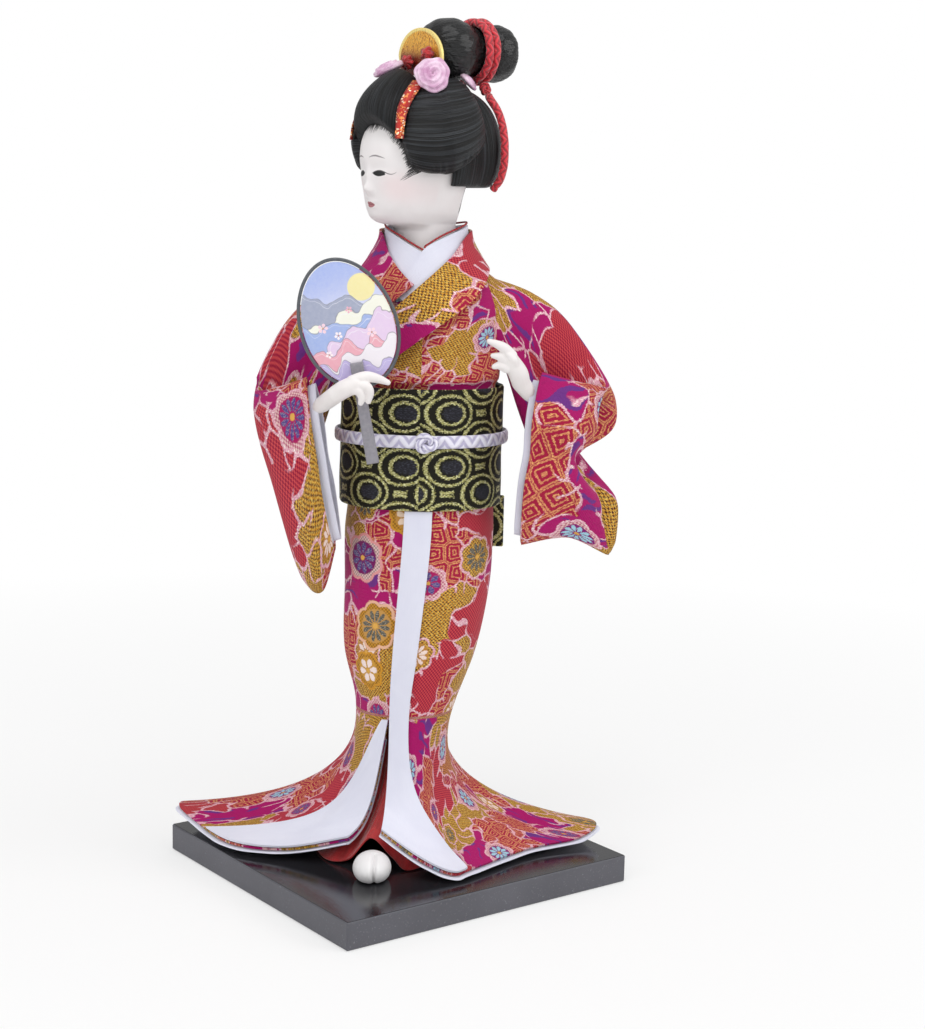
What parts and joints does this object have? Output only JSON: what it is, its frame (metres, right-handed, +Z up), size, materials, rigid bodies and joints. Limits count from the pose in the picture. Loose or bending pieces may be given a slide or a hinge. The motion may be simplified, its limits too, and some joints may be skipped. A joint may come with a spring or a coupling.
{
  "type": "geisha figurine",
  "caption": "Standing doll in a patterned kimono with a spread train, wide sash and dressed hair, holding a flat fan on a square board.",
  "frame": {"origin": "centre of the board's underside", "axes": "+Z up; X and Y along the board's sides; the figure faces the corner at -X and -Y"},
  "size_m": [0.1296, 0.1254, 0.3155],
  "materials": {
    "gloss_black_board": "glossy black lacquer",
    "steel_wire": "bare steel",
    "stuffed_core": "plain, hidden",
    "magenta_brocade": "magenta and gold figured brocade",
    "white_lining": "white twill lining",
    "red_satin": "red satin",
    "white_sock": "matt white",
    "black_gold_obi": "black weave with pale gold drops",
    "white_cord": "white braid",
    "white_moulding": "matt white moulding, painted features",
    "printed_card": "pale printed card",
    "grey_plastic": "dark grey",
    "black_hair": "combed black fibre",
    "gold_comb": "gold with red flowers",
    "pink_ribbon": "lilac pink satin ribbon",
    "red_cord": "red braid",
    "red_gold_ribbon": "red ribbon with gold thread",
    "red_piping": "dark red piping"
  },
  "bodies": {
    "root": {"base_board": "gloss_black_board", "support_rod": "steel_wire", "body_core": "stuffed_core", "kimono_skirt": "magenta_brocade", "kimono_bodice": "magenta_brocade", "lapel_right": "magenta_brocade", "lapel_left": "magenta_brocade", "kimono_sleeve_right": "magenta_brocade", "kimono_sleeve_left": "magenta_brocade", "train_lining": "white_lining", "front_facing": "white_lining", "folded_facing": "white_lining", "under_collar_right": "white_lining", "under_collar_left": "white_lining", "inner_sleeve_right": "white_lining", "inner_sleeve_left": "white_lining", "underskirt": "red_satin", "comb_flower_left": "red_satin", "comb_flower_right": "red_satin", "foot": "white_sock", "obi_sash": "black_gold_obi", "obi_drum": "black_gold_obi", "obi_tail": "black_gold_obi", "obi_cord": "white_cord", "obi_cord_knot": "white_cord", "head": "white_moulding", "hand_right": "white_moulding", "hand_left": "white_moulding", "fan_leaf": "printed_card", "fan_rim": "grey_plastic", "fan_handle": "grey_plastic", "fan_clip": "grey_plastic", "hair_forelock": "black_hair", "hair_wing_left": "black_hair", "hair_wing_right": "black_hair", "hair_nape": "black_hair", "hair_bun": "black_hair", "comb": "gold_comb", "rosette_near": "pink_ribbon", "rosette_far": "pink_ribbon", "rosette_back": "pink_ribbon", "bun_cord_front": "red_cord", "bun_cord_rear": "red_cord", "bun_cord_knot": "red_cord", "bun_cord_tail": "red_cord", "side_ribbon_left": "red_gold_ribbon", "side_ribbon_right": "red_gold_ribbon", "collar_piping": "red_piping"}
  },
  "joints": []
}
